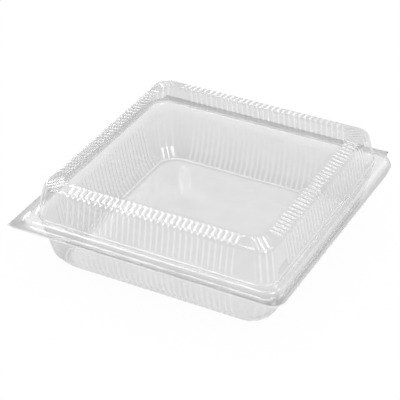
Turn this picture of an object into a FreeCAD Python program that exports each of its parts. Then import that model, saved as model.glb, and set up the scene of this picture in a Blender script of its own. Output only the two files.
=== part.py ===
"""Clear square takeout container with a hinged lid, thermoformed as one plastic sheet.

The sheet folds along one edge, so it has two halves: the tray and the lid. Each half is a
thin shell. Its section is a profile of (reach, height) points, where reach is measured from
the middle of the container straight out to a side. The profile is carried round a rounded
square, and narrow ribs are pressed outwards along the sides and round the corners.

Frame: millimetres, +Z up, lid closed. The origin is the centre of the face that the tray
stands on, X runs along the fold and +Y points towards it. The halves part at z = TRAY_DEPTH.
"""
import FreeCAD, Part

import math
import os

V = FreeCAD.Vector

# ---- Sheet and fit ----
SHEET = 0.4              # thickness of the formed sheet
NEST_GAP = 0.3           # clear space between the closed lid and the tray, square to the sheet

# ---- Flange round both halves, and the fold ----
FLANGE_HALF = 115.0      # centre to the outer edge of the flange
FLANGE_WIDTH = 5.7       # flat part of the flange, outside the bead
FRONT_CORNER = 11.0      # radius of the flange's front right corner
BACK_CORNER = 27.0       # radius of the flange's two back corners
TRAY_TAB_CORNER = 6.0    # radius of the tray's front left corner, under the lid's pointed tab
FOLD_STAND_OFF = 2.6     # how far the fold line stands out past the flange's edge
FOLD_INSET = 12.0        # how far the fold line stops short of the flange's side edges
LEAF_INSET = 10.5        # the same for the root of the hinge leaf, on the corner's arc

# ---- Nesting bead: the lid's step sits over the tray's raised bead ----
BEAD_RISE = 4.05         # top of the lid's step above its flange
BEAD_LEAN = 2.7          # how far the step's outer wall leans in over its rise
STEP_WIDTH = 4.0         # flat top of the lid's step
BEAD_CORNER = 13.0       # corner radius at the foot of the bead
STEP_CORNER = 14.0       # corner radius along the inner edge of the lid's step
BEAD_WIDTH = 4.0         # flat top of the tray's bead
BEAD_INNER_CORNER = 16.0  # corner radius along the inner edge of the tray's bead

# ---- Lid ----
LID_RISE = 32.0          # parting plane up to the top panel
TOE_RUN = 1.2            # easing between the step and the lid wall, measured inwards
TOE_RISE = 1.0           # the same easing, measured upwards
LID_WALL_LEAN = 4.2      # how far the lid wall leans in over its height
LID_WALL_CORNER = 13.0   # corner radius at the foot of the lid wall
LID_TOP_CORNER = 12.5    # corner radius at the top of the lid wall
SHOULDER_DROP = 4.0      # top panel down to the top of the lid wall
SHOULDER_RUN = 2.0       # slanted easing above the lid wall, measured inwards
SHOULDER_RISE = 2.3      # the same easing, measured upwards
SHOULDER_WIDTH = 11.2    # gently sloping border between that easing and the top panel
PANEL_CORNER = 9.5       # corner radius of the top panel

# ---- Tray ----
TRAY_DEPTH = 42.0        # parting plane down to the face the tray stands on
LIP_RUN = 1.0            # easing inside the tray's bead, measured inwards
LIP_DROP = 0.9           # the same easing, measured downwards
COLLAR_DROP = 6.0        # plain collar between that easing and the start of the ribs
COLLAR_LEAN = 0.8        # how far the collar leans in over its height
COLLAR_CORNER = 17.0     # corner radius at the start of the ribs
TRAY_WALL_LEAN = 6.1     # how far the ribbed wall leans in down to the knee
KNEE_HEIGHT = 9.5        # knee of the wall above the standing face
KNEE_CORNER = 15.0       # corner radius at the knee
KNEE_LEAN = 5.5          # how far the wall leans in from the knee to the floor
FLOOR_CORNER = 17.0      # corner radius of the floor

# ---- Ribs ----
RIB_PITCH = 4.8          # from one rib to the next
RIB_MARGIN = 2.0         # least plain length between the last rib and the corner
SHOULDER_RIB = 0.9       # rib height on the lid's border, where it is highest
SHOULDER_PEAK_RUN = 2.4  # from the border's outer edge in to that place
EDGE_RIB = 0.15          # what is left of a rib round the border's outer edge
LID_WALL_RIB = 0.7       # rib height on the lid wall
TRAY_RIB = 1.0           # rib height on the tray wall
FLOOR_RIB = 0.25         # what is left of it at the edge of the floor
RIB_RUN_OUT = 1.6        # height over which a rib fades into the plain sheet
CORNER_FACETS = 8        # flat facets that make one rounded corner
CORNER_RIBS = (2, 4, 6)  # facet joints of a corner that stand out as ribs

SAME_POINT = 1e-6        # closer than this, two points are one


# ---- Profiles: points are (reach, height), listed from the rim inwards ----

def cross(a, b):
    """Signed area spanned by two plane vectors."""
    return a[0] * b[1] - a[1] * b[0]


def shifted_line(start, end, distance):
    """A segment's start and direction, moved towards the sheet's under side."""
    run = end[0] - start[0]
    rise = end[1] - start[1]
    length = math.hypot(run, rise)
    direction = (run / length, rise / length)
    moved = (start[0] - direction[1] * distance, start[1] + direction[0] * distance)
    return moved, direction


def shifted(points, distances):
    """Move every segment of a profile by its own distance and join them again.

    Where two neighbours run straight on, the joint moves square to both.
    """
    lines = [shifted_line(a, b, d) for a, b, d in zip(points, points[1:], distances)]
    out = [lines[0][0]]
    for (p, u), (q, v) in zip(lines, lines[1:]):
        between = (q[0] - p[0], q[1] - p[1])
        turn = cross(u, v)
        if abs(turn) < SAME_POINT:
            out.append(q)
        else:
            along = cross(between, v) / turn
            out.append((p[0] + u[0] * along, p[1] + u[1] * along))
    last, direction = lines[-1]
    length = math.dist(points[-2], points[-1])
    out.append((last[0] + direction[0] * length, last[1] + direction[1] * length))
    return out


def under_side(points):
    """The other face of the sheet that follows these points."""
    return shifted(points, [SHEET] * (len(points) - 1))


def point_at_height(a, b, height):
    """The point of the line through a and b that lies at this height."""
    share = (height - a[1]) / (b[1] - a[1])
    return (a[0] + share * (b[0] - a[0]), height)


def lid_profile():
    """Upper face of the lid from the flange's edge to the middle of the top panel."""
    flange_top = TRAY_DEPTH + NEST_GAP / 2 + SHEET
    step_top = flange_top + BEAD_RISE
    panel_top = TRAY_DEPTH + LID_RISE
    wall_top = panel_top - SHOULDER_DROP
    foot = FLANGE_HALF - FLANGE_WIDTH
    step_out = foot - BEAD_LEAN
    step_in = step_out - STEP_WIDTH
    wall_foot = step_in - TOE_RUN
    wall_head = wall_foot - LID_WALL_LEAN
    shoulder = wall_head - SHOULDER_RUN
    panel_edge = shoulder - SHOULDER_WIDTH
    return [
        (FLANGE_HALF, flange_top),
        (foot, flange_top),
        (step_out, step_top),
        (step_in, step_top),
        (wall_foot, step_top + TOE_RISE),
        (wall_head, wall_top),
        (shoulder, wall_top + SHOULDER_RISE),
        (panel_edge, panel_top),
        (0.0, panel_top),
    ]


def tray_profile():
    """Upper face of the tray from the flange's edge to the middle of the floor."""
    nest = shifted(lid_profile()[:4], [SHEET + NEST_GAP] * 3)
    edge, foot, bead_out = nest[:3]
    bead_top = bead_out[1]
    bead_in = bead_out[0] - BEAD_WIDTH
    collar_head = bead_in - LIP_RUN
    collar_foot = collar_head - COLLAR_LEAN
    knee = collar_foot - TRAY_WALL_LEAN
    floor_edge = knee - KNEE_LEAN
    collar_top = bead_top - LIP_DROP
    return [
        edge,
        foot,
        bead_out,
        (bead_in, bead_top),
        (collar_head, collar_top),
        (collar_foot, collar_top - COLLAR_DROP),
        (knee, KNEE_HEIGHT),
        (floor_edge, SHEET),
        (0.0, SHEET),
    ]


# ---- Loops: a profile point carried round the rounded square ----

class Loop:
    """One profile point carried round the container, with its ribs.

    plain is the point between the ribs and crest the point on top of a rib, both as
    (reach, height). radius is the corner radius of the plain sheet.
    """

    def __init__(self, plain, radius, rib_count, crest=None):
        self.plain = plain
        self.crest = crest or plain
        self.radius = radius
        self.rib_count = rib_count

    def spot(self, side, along, out, height):
        """A point beside one side: along it, straight out from the middle, and up."""
        turn = math.radians(90.0 * side)
        x = along * math.cos(turn) + out * math.sin(turn)
        y = along * math.sin(turn) - out * math.cos(turn)
        return V(x, y, height)

    def straight_half(self):
        """Half the straight length of a side, between its corner arcs."""
        return self.plain[0] - self.radius

    def side_nodes(self, side):
        """The points where the ribs of one side begin, peak and end."""
        nodes = []
        for i in range(2 * self.rib_count + 1):
            along = (i - self.rib_count) * RIB_PITCH / 2
            reach, height = self.crest if i % 2 else self.plain
            nodes.append(self.spot(side, along, reach, height))
        return nodes

    def corner_nodes(self, side):
        """The points of the corner that follows one side, with both its ends."""
        centre = self.straight_half()
        nodes = []
        for i in range(CORNER_FACETS + 1):
            angle = math.pi / 2 * i / CORNER_FACETS
            reach, height = self.crest if i in CORNER_RIBS else self.plain
            arm = self.radius + reach - self.plain[0]
            along = centre + arm * math.sin(angle)
            out = centre + arm * math.cos(angle)
            nodes.append(self.spot(side, along, out, height))
        return nodes

    def side_ends(self, side):
        """The two points where one side meets its corners."""
        half = self.straight_half()
        reach, height = self.plain
        return self.spot(side, -half, reach, height), self.spot(side, half, reach, height)

    def outline(self, with_nodes):
        """The whole loop as one list of points."""
        points = []
        for side in range(4):
            if with_nodes:
                points += self.side_nodes(side)
            points += self.corner_nodes(side)
        return points


def tidy_polygon(points):
    """Drop points that repeat the one before them."""
    kept = []
    for p in points:
        if not kept or p.distanceToPoint(kept[-1]) > SAME_POINT:
            kept.append(p)
    if kept[0].distanceToPoint(kept[-1]) < SAME_POINT:
        kept.pop()
    return kept


def is_flat(a, b, c, d):
    """True when four points lie in one plane."""
    normal = (b - a).cross(c - a)
    return abs(normal.dot(d - a)) < SAME_POINT * max(normal.Length, SAME_POINT)


def patch(lower, upper, crest_first):
    """Faces between two neighbouring points of one loop and of the next loop.

    A patch that isn't flat is split along the diagonal from the rib's crest in the lower
    loop to the plain sheet in the upper one, so both skins fold along the same lines.
    """
    a, b = lower
    d, c = upper
    corners = tidy_polygon([a, b, c, d])
    if len(corners) < 3:
        return []
    if len(corners) == 3 or is_flat(a, b, c, d):
        return [corners]
    if crest_first:
        return [[a, b, c], [a, c, d]]
    return [[a, b, d], [b, c, d]]


def ribbed_band(lower, upper):
    """Faces between two loops whose sides carry ribs."""
    faces = []
    for side in range(4):
        rows = []
        for loop in (lower, upper):
            left, right = loop.side_ends(side)
            rows.append([left] + loop.side_nodes(side) + [right])
        low, high = rows
        for i in range(len(low) - 1):
            faces += patch(low[i:i + 2], high[i:i + 2], i % 2 == 0)
        low = lower.corner_nodes(side)
        high = upper.corner_nodes(side)
        for i in range(CORNER_FACETS):
            faces += patch(low[i:i + 2], high[i:i + 2], i in CORNER_RIBS)
    return faces


def plain_band(lower, upper, upper_has_nodes=False):
    """Faces between two plain loops, with one face for each side."""
    faces = []
    for side in range(4):
        left, right = lower.side_ends(side)
        far_left, far_right = upper.side_ends(side)
        nodes = upper.side_nodes(side)[::-1] if upper_has_nodes else []
        faces.append([left, right, far_right] + nodes + [far_left])
        low = lower.corner_nodes(side)
        high = upper.corner_nodes(side)
        for i in range(CORNER_FACETS):
            faces += patch(low[i:i + 2], high[i:i + 2], False)
    return faces


# ---- The flat flange with its pointed tab and hinge leaf ----

def arc_points(centre, radius, start, end):
    """Points on a corner arc, as many facets to a right angle as the other corners."""
    steps = max(1, round(CORNER_FACETS * abs(end - start) / 90.0))
    angles = [math.radians(start + (end - start) * i / steps) for i in range(steps + 1)]
    return [(centre[0] + radius * math.cos(t), centre[1] + radius * math.sin(t)) for t in angles]


def flange_outline(tab_corner):
    """Outer edge of a flange in the plane: tab at the front left, hinge leaf at the back."""
    front = FLANGE_HALF - FRONT_CORNER
    back = FLANGE_HALF - BACK_CORNER
    tab = FLANGE_HALF - tab_corner
    leaf_end = FLANGE_HALF + FOLD_STAND_OFF - NEST_GAP / 2
    leaf_half = FLANGE_HALF - FOLD_INSET
    cut = math.degrees(math.acos(1.0 - LEAF_INSET / BACK_CORNER))
    right_back = arc_points((back, back), BACK_CORNER, 0.0, cut)
    left_back = [(-x, y) for x, y in reversed(right_back)]
    points = arc_points((front, -front), FRONT_CORNER, -90.0, 0.0)
    points += right_back
    points += [(leaf_half, leaf_end), (-leaf_half, leaf_end)]
    points += left_back
    points += arc_points((-tab, -tab), tab_corner, 180.0, 270.0)
    return points


def flange_face(outline, hole, height):
    """Flat face between the flange's outer edge and the foot of the bead."""
    outer = closed_wire(tidy_polygon([V(x, y, height) for x, y in outline]))
    inner = closed_wire(tidy_polygon(hole.outline(False)))
    return Part.makeFace([outer, inner], "Part::FaceMakerBullseye")


def flange_edge_faces(outline, top, bottom):
    """Narrow faces that close the sheet's thickness round the flange."""
    points = tidy_polygon([V(x, y, 0.0) for x, y in outline])
    faces = []
    for a, b in zip(points, points[1:] + points[:1]):
        faces.append([V(a.x, a.y, bottom), V(b.x, b.y, bottom), V(b.x, b.y, top), V(a.x, a.y, top)])
    return faces


# ---- Shells ----

def closed_wire(points):
    """A closed polygon."""
    return Part.makePolygon(points + points[:1])


def flat_face(points):
    """A flat face bounded by a polygon."""
    return Part.Face(closed_wire(tidy_polygon(points)))


def skin_loops(plain, crest, radii, rib_count):
    """Loops of one skin from the bead's foot inwards, each with its crest and its radius."""
    return [Loop(p, r, rib_count, c) for p, c, r in zip(plain, crest, radii)]


def skin_faces(loops, rib_start):
    """Faces of one skin: plain bands, ribbed bands, then the flat panel in the middle."""
    faces = []
    for i in range(rib_start):
        faces += plain_band(loops[i], loops[i + 1], upper_has_nodes=i + 1 == rib_start)
    for lower, upper in zip(loops[rib_start:], loops[rib_start + 1:]):
        faces += ribbed_band(lower, upper)
    faces.append(loops[-1].outline(True))
    return faces


def under_profile(points):
    """The under side of a profile that may hold the same point twice."""
    kept = [p for i, p in enumerate(points) if i == 0 or p != points[i - 1]]
    below = iter(under_side(kept))
    out = []
    for i, p in enumerate(points):
        out.append(out[-1] if i and p == points[i - 1] else next(below))
    return out


def formed_shell(plain, crest, radii, tab_corner):
    """One half of the container as a closed thin solid.

    plain and crest list the upper face between the ribs and on top of them, from the
    flange's edge to the middle. They differ only where there are ribs, and radii holds a
    corner radius for each point between the two ends.
    """
    plain_below = under_profile(plain)
    crest_below = under_profile(crest)
    for i, (p, c) in enumerate(zip(plain, crest)):
        if p == c:
            crest_below[i] = plain_below[i]
    rib_start = plain.index(next(p for p, c in zip(plain, crest) if p != c))
    radii_below = [r + b[0] - p[0] for r, p, b in zip(radii, plain[1:-1], plain_below[1:-1])]
    straight = min(p[0] - r for p, r in zip(plain[1:-1], radii))
    rib_count = int((straight - RIB_MARGIN) * 2 / RIB_PITCH)
    top = skin_loops(plain[1:-1], crest[1:-1], radii, rib_count)
    bottom = skin_loops(plain_below[1:-1], crest_below[1:-1], radii_below, rib_count)
    outline = flange_outline(tab_corner)
    polygons = skin_faces(top, rib_start - 1) + skin_faces(bottom, rib_start - 1)
    polygons += flange_edge_faces(outline, plain[0][1], plain_below[0][1])
    faces = [flat_face(p) for p in polygons]
    faces.append(flange_face(outline, top[0], plain[0][1]))
    faces.append(flange_face(outline, bottom[0], plain_below[0][1]))
    solid = Part.makeSolid(Part.makeShell(faces))
    if solid.Volume < 0:
        solid.reverse()
    return solid


def lid():
    """The lid: a stepped rim, leaning walls and a flat top inside a ribbed border."""
    edge, foot, step_out, step_in, wall_foot, wall_head, shoulder, panel_edge, middle = lid_profile()
    raised = shifted([wall_foot, wall_head, shoulder, panel_edge], [-LID_WALL_RIB, -EDGE_RIB, -EDGE_RIB])
    rib_toe = point_at_height(raised[0], raised[1], wall_foot[1] + RIB_RUN_OUT)
    inwards = SHOULDER_PEAK_RUN / SHOULDER_WIDTH
    border = (shoulder[0] - SHOULDER_PEAK_RUN, shoulder[1] + (panel_edge[1] - shoulder[1]) * inwards)
    rib_peak = (border[0], border[1] + SHOULDER_RIB)
    rim = [edge, foot, step_out, step_in, wall_foot]
    plain = rim + [wall_foot, wall_head, shoulder, border, panel_edge, middle]
    crest = rim + [rib_toe, raised[1], raised[2], rib_peak, panel_edge, middle]
    edge_corner = LID_TOP_CORNER - SHOULDER_RUN
    radii = [BEAD_CORNER, BEAD_CORNER - BEAD_LEAN, STEP_CORNER, LID_WALL_CORNER]
    radii += [LID_WALL_CORNER, LID_TOP_CORNER, edge_corner]
    radii += [edge_corner + (PANEL_CORNER - edge_corner) * inwards, PANEL_CORNER]
    return formed_shell(plain, crest, radii, 0.0)


def tray():
    """The tray: a raised bead round the rim, ribbed walls with a knee and a flat floor."""
    edge, foot, bead_out, bead_in, collar_head, collar_foot, knee, floor_edge, middle = tray_profile()
    pressed = shifted([collar_foot, knee, floor_edge], [TRAY_RIB, TRAY_RIB])
    rib_head = point_at_height(pressed[0], pressed[1], collar_foot[1] - RIB_RUN_OUT)
    rib_end = (floor_edge[0] + FLOOR_RIB, floor_edge[1])
    rim = [edge, foot, bead_out, bead_in, collar_head, collar_foot]
    plain = rim + [collar_foot, knee, floor_edge, middle]
    crest = rim + [rib_head, pressed[1], rib_end, middle]
    nest_corner = BEAD_CORNER + foot[0] - (FLANGE_HALF - FLANGE_WIDTH)
    radii = [nest_corner, nest_corner - foot[0] + bead_out[0], BEAD_INNER_CORNER]
    radii += [BEAD_INNER_CORNER - LIP_RUN, COLLAR_CORNER, COLLAR_CORNER, KNEE_CORNER, FLOOR_CORNER]
    return formed_shell(plain, crest, radii, TRAY_TAB_CORNER)


def main():
    """Write each half of the container as a STEP file."""
    os.makedirs("parts", exist_ok=True)
    tray().exportStep("parts/tray.step")
    lid().exportStep("parts/lid.step")


if __name__ == "__main__":
    main()
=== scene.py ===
"""Clear square takeout container with a hinged lid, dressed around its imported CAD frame.

The frame of the CAD part is used throughout: +Z up, lid closed, the origin at the centre of
the face that the tray stands on, X along the fold and +Y towards it. Sizes are kept in
millimetres, as on a maker's drawing, and become metres where a mesh is built.
"""
import logging
import math
from dataclasses import asdict, dataclass, fields
from enum import Enum

import bpy
import numpy as np
from mathutils import Matrix, Vector


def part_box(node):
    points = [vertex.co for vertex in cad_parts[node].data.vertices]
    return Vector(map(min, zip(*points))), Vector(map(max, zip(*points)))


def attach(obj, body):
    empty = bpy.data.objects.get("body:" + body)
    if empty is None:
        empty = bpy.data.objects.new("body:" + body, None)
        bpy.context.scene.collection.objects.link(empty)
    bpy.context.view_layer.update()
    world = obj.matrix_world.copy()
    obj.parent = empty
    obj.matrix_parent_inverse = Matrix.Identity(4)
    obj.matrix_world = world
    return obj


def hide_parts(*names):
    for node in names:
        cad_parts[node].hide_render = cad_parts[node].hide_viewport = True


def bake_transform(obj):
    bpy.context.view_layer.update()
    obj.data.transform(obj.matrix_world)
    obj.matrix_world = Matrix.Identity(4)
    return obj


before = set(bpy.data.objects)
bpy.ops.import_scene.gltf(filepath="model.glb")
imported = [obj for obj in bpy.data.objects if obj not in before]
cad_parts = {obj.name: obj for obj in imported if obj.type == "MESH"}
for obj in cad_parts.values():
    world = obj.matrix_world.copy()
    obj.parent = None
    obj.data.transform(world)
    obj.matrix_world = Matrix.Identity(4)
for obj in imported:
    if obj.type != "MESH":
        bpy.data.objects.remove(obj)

Array = np.ndarray
Nodes = bpy.types.NodeTree
LOG = logging.getLogger("takeout_container")

MM = 0.001          # one millimetre in metres
TINY = 1e-9         # least length that is divided by
SLACK = 1e-6        # let by in a comparison
ARC_STEPS = 24      # legs of a rounded corner of the flange
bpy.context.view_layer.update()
REACH, HEIGHT, CORNER, SHADE_SHARE, PAD = range(5)     # columns of a profile array
UP = np.array([0.0, 0.0, 1.0])


class Half(Enum):
    """The two halves of the formed sheet, by their CAD node and body."""

    TRAY = "tray"
    LID = "lid"

    @property
    def slot(self) -> str:
        """A material slot name for this half; no piece of this script is given it."""
        return f"clear_sheet_{self.value}"


# ---- Sizes, in millimetres ----

@dataclass(frozen=True)
class RimSizes:
    """The sheet, the flange round both halves, the nesting bead and the fold."""

    thickness: float = 0.4
    nest_gap: float = 0.3
    flange_half: float = 115.0
    flange_width: float = 5.7
    front_corner: float = 11.0
    back_corner: float = 27.0
    tray_depth: float = 42.0
    bead_rise: float = 4.05
    bead_lean: float = 2.7
    step_width: float = 4.0
    bead_corner: float = 13.0
    leaf_end: float = 117.45
    fold_inset: float = 12.0
    leaf_inset: float = 10.5
    web_reach: float = 0.55

    @classmethod
    def from_frame(cls) -> "RimSizes":
        """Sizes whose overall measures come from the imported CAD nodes.

        Returns:
            The sizes.
        """
        low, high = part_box(Half.TRAY.value)
        lid_low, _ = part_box(Half.LID.value)
        flange_half = -low.x / MM
        return cls(
            flange_half=flange_half,
            tray_depth=round(lid_low.z / MM - cls.nest_gap / 2, 3),
            leaf_end=high.y / MM,
        )


@dataclass(frozen=True)
class LidSizes:
    """The lid above its flange."""

    rise: float = 32.0
    step_corner: float = 14.0
    toe_run: float = 1.2
    toe_rise: float = 1.0
    wall_lean: float = 4.2
    wall_corner: float = 13.0
    top_corner: float = 12.5
    shoulder_drop: float = 4.0
    shoulder_run: float = 2.0
    shoulder_rise: float = 2.3
    shoulder_width: float = 11.2
    panel_corner: float = 9.5
    wall_rib: float = 0.32
    shoulder_rib: float = 0.55
    edge_rib: float = 0.15
    outer_run_out: float = 2.4
    inner_run_out: float = 2.0
    inner_share: float = 0.9
    panel_sag: float = -0.35


@dataclass(frozen=True)
class TraySizes:
    """The tray below its flange."""

    bead_width: float = 4.0
    bead_inner_corner: float = 16.0
    lip_run: float = 1.0
    lip_drop: float = 0.9
    collar_drop: float = 6.0
    collar_lean: float = 0.8
    collar_corner: float = 17.0
    wall_lean: float = 6.1
    knee_height: float = 9.5
    knee_corner: float = 15.0
    knee_lean: float = 5.5
    floor_corner: float = 17.0
    tab_corner: float = 6.0
    rib: float = 0.55
    floor_rib: float = 0.25
    floor_run_out: float = 1.8
    floor_crown: float = 0.35


@dataclass(frozen=True)
class RibSizes:
    """The pressed ribs and how finely the grid follows them."""

    pitch: float = 4.8
    margin: float = 2.0
    run_out: float = 1.6
    crispness: float = 0.35
    below: float = 0.5
    pad_flank: float = 0.15
    columns: int = 8
    corner_columns: int = 32
    corner_pitch: float = math.pi / 16
    corner_span: float = 3.5
    corner_share: float = 0.75
    panel_skip: int = 4
    panel_rings: int = 8
    ring_start: float = 0.97
    ring_end: float = 0.04


# ---- Profiles ----

def unit(vectors: Array) -> Array:
    """Vectors scaled to length 1."""
    return vectors / np.maximum(np.linalg.norm(vectors, axis=-1, keepdims=True), TINY)


def cross(u: Array, v: Array) -> Array:
    """Cross product u_x v_y - u_y v_x of plane vectors."""
    return u[..., 0] * v[..., 1] - u[..., 1] * v[..., 0]


def legs_of(points: Array) -> tuple[Array, Array]:
    """Unit directions and lengths of a profile's legs.

    Args:
        points: Profile points, one row each; only reach and height are used.

    Returns:
        The unit directions and the lengths.
    """
    step = np.diff(points[:, :2], axis=0)
    length = np.hypot(step[:, 0], step[:, 1])
    return step / length[:, None], length


def shifted(points: Array, distances: Array) -> Array:
    """Move each leg of a profile square to itself and join the legs again.

    A leg moves towards the sheet's under side by its distance. Neighbouring legs with the
    directions u and v, whose starts are a gap apart, meet cross(gap, v) / cross(u, v) along u.

    Args:
        points: Profile points as (reach, height) rows.
        distances: One distance for each leg.

    Returns:
        As many points as were given.
    """
    direction, length = legs_of(points)
    square = np.stack([-direction[:, 1], direction[:, 0]], axis=1)
    start = points[:-1, :2] + square * distances[:, None]
    gap = start[1:] - start[:-1]
    u, v = direction[:-1], direction[1:]
    joints = start[:-1] + u * (cross(gap, v) / cross(u, v))[:, None]
    end = start[-1] + direction[-1] * length[-1]
    return np.vstack([start[:1], joints, end[None]])


def at_height(a: Array, b: Array, height: float) -> Array:
    """The point of the line through a and b that lies at this height."""
    return a + (b - a) * (height - a[1]) / (b[1] - a[1])


def rounded(points: Array, trims: Array, steps: Array) -> Array:
    """Round each inner corner of a profile with a parabola.

    The curve runs from a, one trim before the corner c, to b, one trim after it, and is
    (1 - t)^2 a + 2 t (1 - t) c + t^2 b. A row's other values are blended in the same way.

    Args:
        points: Profile rows.
        trims: One trim for each inner point.
        steps: How many points each parabola gets.

    Returns:
        The first and last points with every rounded corner between them.
    """
    _, length = legs_of(points)
    corner = points[1:-1]
    before = corner + (points[:-2] - corner) * (trims / length[:-1])[:, None]
    after = corner + (points[2:] - corner) * (trims / length[1:])[:, None]
    which = np.repeat(np.arange(len(corner)), steps)
    t = np.concatenate([np.linspace(0.0, 1.0, count) for count in steps])[:, None]
    curve = (1 - t) ** 2 * before[which] + 2 * t * (1 - t) * corner[which] + t ** 2 * after[which]
    return np.vstack([points[:1], curve, points[-1:]])


@dataclass(frozen=True)
class Section:
    """One half's section from the flange to its flat middle.

    plain runs between the ribs and crest on top of them. Their columns are reach, height, corner
    radius, the share of painted shade there (a darker grey laid over the sheet's tint), and how
    flat the ribs' tops are. The first row stands for the flange, whose outer edge is its own
    outline. One rounded row, if the section names it, takes no painted shade, so a lighter line,
    a painted highlight, runs along it.
    """

    plain: Array
    crest: Array
    trims: Array
    steps: Array
    tab_corner: float
    bow: float
    clear_row: int | None = None

    def straight_half(self) -> float:
        """Half the shortest straight stretch between two corners."""
        return float((self.plain[1:-1, REACH] - self.plain[1:-1, CORNER]).min())

    def rows(self) -> tuple[Array, Array]:
        """Round both profiles.

        Returns:
            The plain and crest rows, row for row, without the flat middle.
        """
        plain = rounded(self.plain, self.trims, self.steps)
        crest = rounded(self.crest, self.trims, self.steps)
        # This row gets no painted shade, which leaves a lighter line there, a painted highlight.
        if self.clear_row is not None:
            plain[self.clear_row, SHADE_SHARE] = 0.0
        return plain[:-1], crest[:-1]


def lid_section(rim: RimSizes, lid: LidSizes, ribs: RibSizes) -> Section:
    """The lid's section: stepped rim, leaning wall, sloping border and flat panel.

    Args:
        rim: Sizes of the flange and bead.
        lid: Sizes of the lid.
        ribs: Sizes of the ribs.

    Returns:
        The section of the lid's upper face.
    """
    flange_top = rim.tray_depth + rim.nest_gap / 2 + rim.thickness
    step_top = flange_top + rim.bead_rise
    panel_top = rim.tray_depth + lid.rise
    wall_top = panel_top - lid.shoulder_drop
    foot = rim.flange_half - rim.flange_width
    step_out = foot - rim.bead_lean
    step_in = step_out - rim.step_width
    wall_foot = step_in - lid.toe_run
    wall_head = wall_foot - lid.wall_lean
    shoulder = wall_head - lid.shoulder_run
    panel_edge = shoulder - lid.shoulder_width
    toe_top = step_top + lid.toe_rise
    border_top = wall_top + lid.shoulder_rise
    foot_point, head_point = np.array((wall_foot, toe_top)), np.array((wall_head, wall_top))
    edge_point, panel_point = np.array((shoulder, border_top)), np.array((panel_edge, panel_top))
    toe = at_height(foot_point, head_point, toe_top + ribs.run_out)
    head = at_height(foot_point, head_point, wall_top - ribs.run_out)
    border_out = edge_point + (panel_point - edge_point) * lid.outer_run_out / lid.shoulder_width
    border_in = panel_point + (edge_point - panel_point) * lid.inner_run_out / lid.shoulder_width
    wall_way = unit(head_point - foot_point)
    border_way = unit(panel_point - edge_point)
    wall_lift = lid.wall_rib * np.array((wall_way[1], -wall_way[0]))
    border_lift = lid.shoulder_rib * np.array((border_way[1], -border_way[0]))
    top_radius = lid.top_corner
    # The fourth column is painted shade, the share of the darker grey: full at the flange's edge
    # and on the wall, little on the bead and the panel.
    lines = np.array([
        (rim.flange_half, flange_top, rim.bead_corner + rim.flange_width, 1.0, 0.0),
        (foot, flange_top, rim.bead_corner, 0.1, 0.0),
        (step_out, step_top, rim.bead_corner - rim.bead_lean, 0.1, 0.0),
        (step_in, step_top, lid.step_corner, 0.1, 0.0),
        (*foot_point, lid.wall_corner, 0.6, 0.0),
        (*toe, lid.wall_corner, 1.0, 0.0),
        (*head, top_radius, 1.0, 0.0),
        (*head_point, top_radius, 0.9, 0.5),
        (*edge_point, top_radius - lid.shoulder_run, 0.65, 1.0),
        (*border_out, top_radius - lid.shoulder_run, 0.6, 1.0),
        (*border_in, lid.panel_corner, 0.6, 1.0),
        (*panel_point, lid.panel_corner, 0.4, 1.0),
        (0.0, panel_top, 0.0, 0.15, 0.0),
    ])
    crest = lines.copy()
    crest[5:7, :2] += wall_lift
    crest[7:9, :2] += lid.edge_rib * np.array((1.0, 1.0)) / math.sqrt(2)
    crest[9, :2] += border_lift
    crest[10, :2] += border_lift * lid.inner_share
    trims = np.array([0.9, 1.1, 0.7, 0.6, 0.6, 0.6, 0.7, 0.9, 1.4, 1.0, 0.8])
    steps = np.array([3, 4, 4, 3, 3, 3, 4, 4, 4, 4, 3])
    return Section(lines, crest, trims, steps, 0.0, lid.panel_sag)


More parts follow.
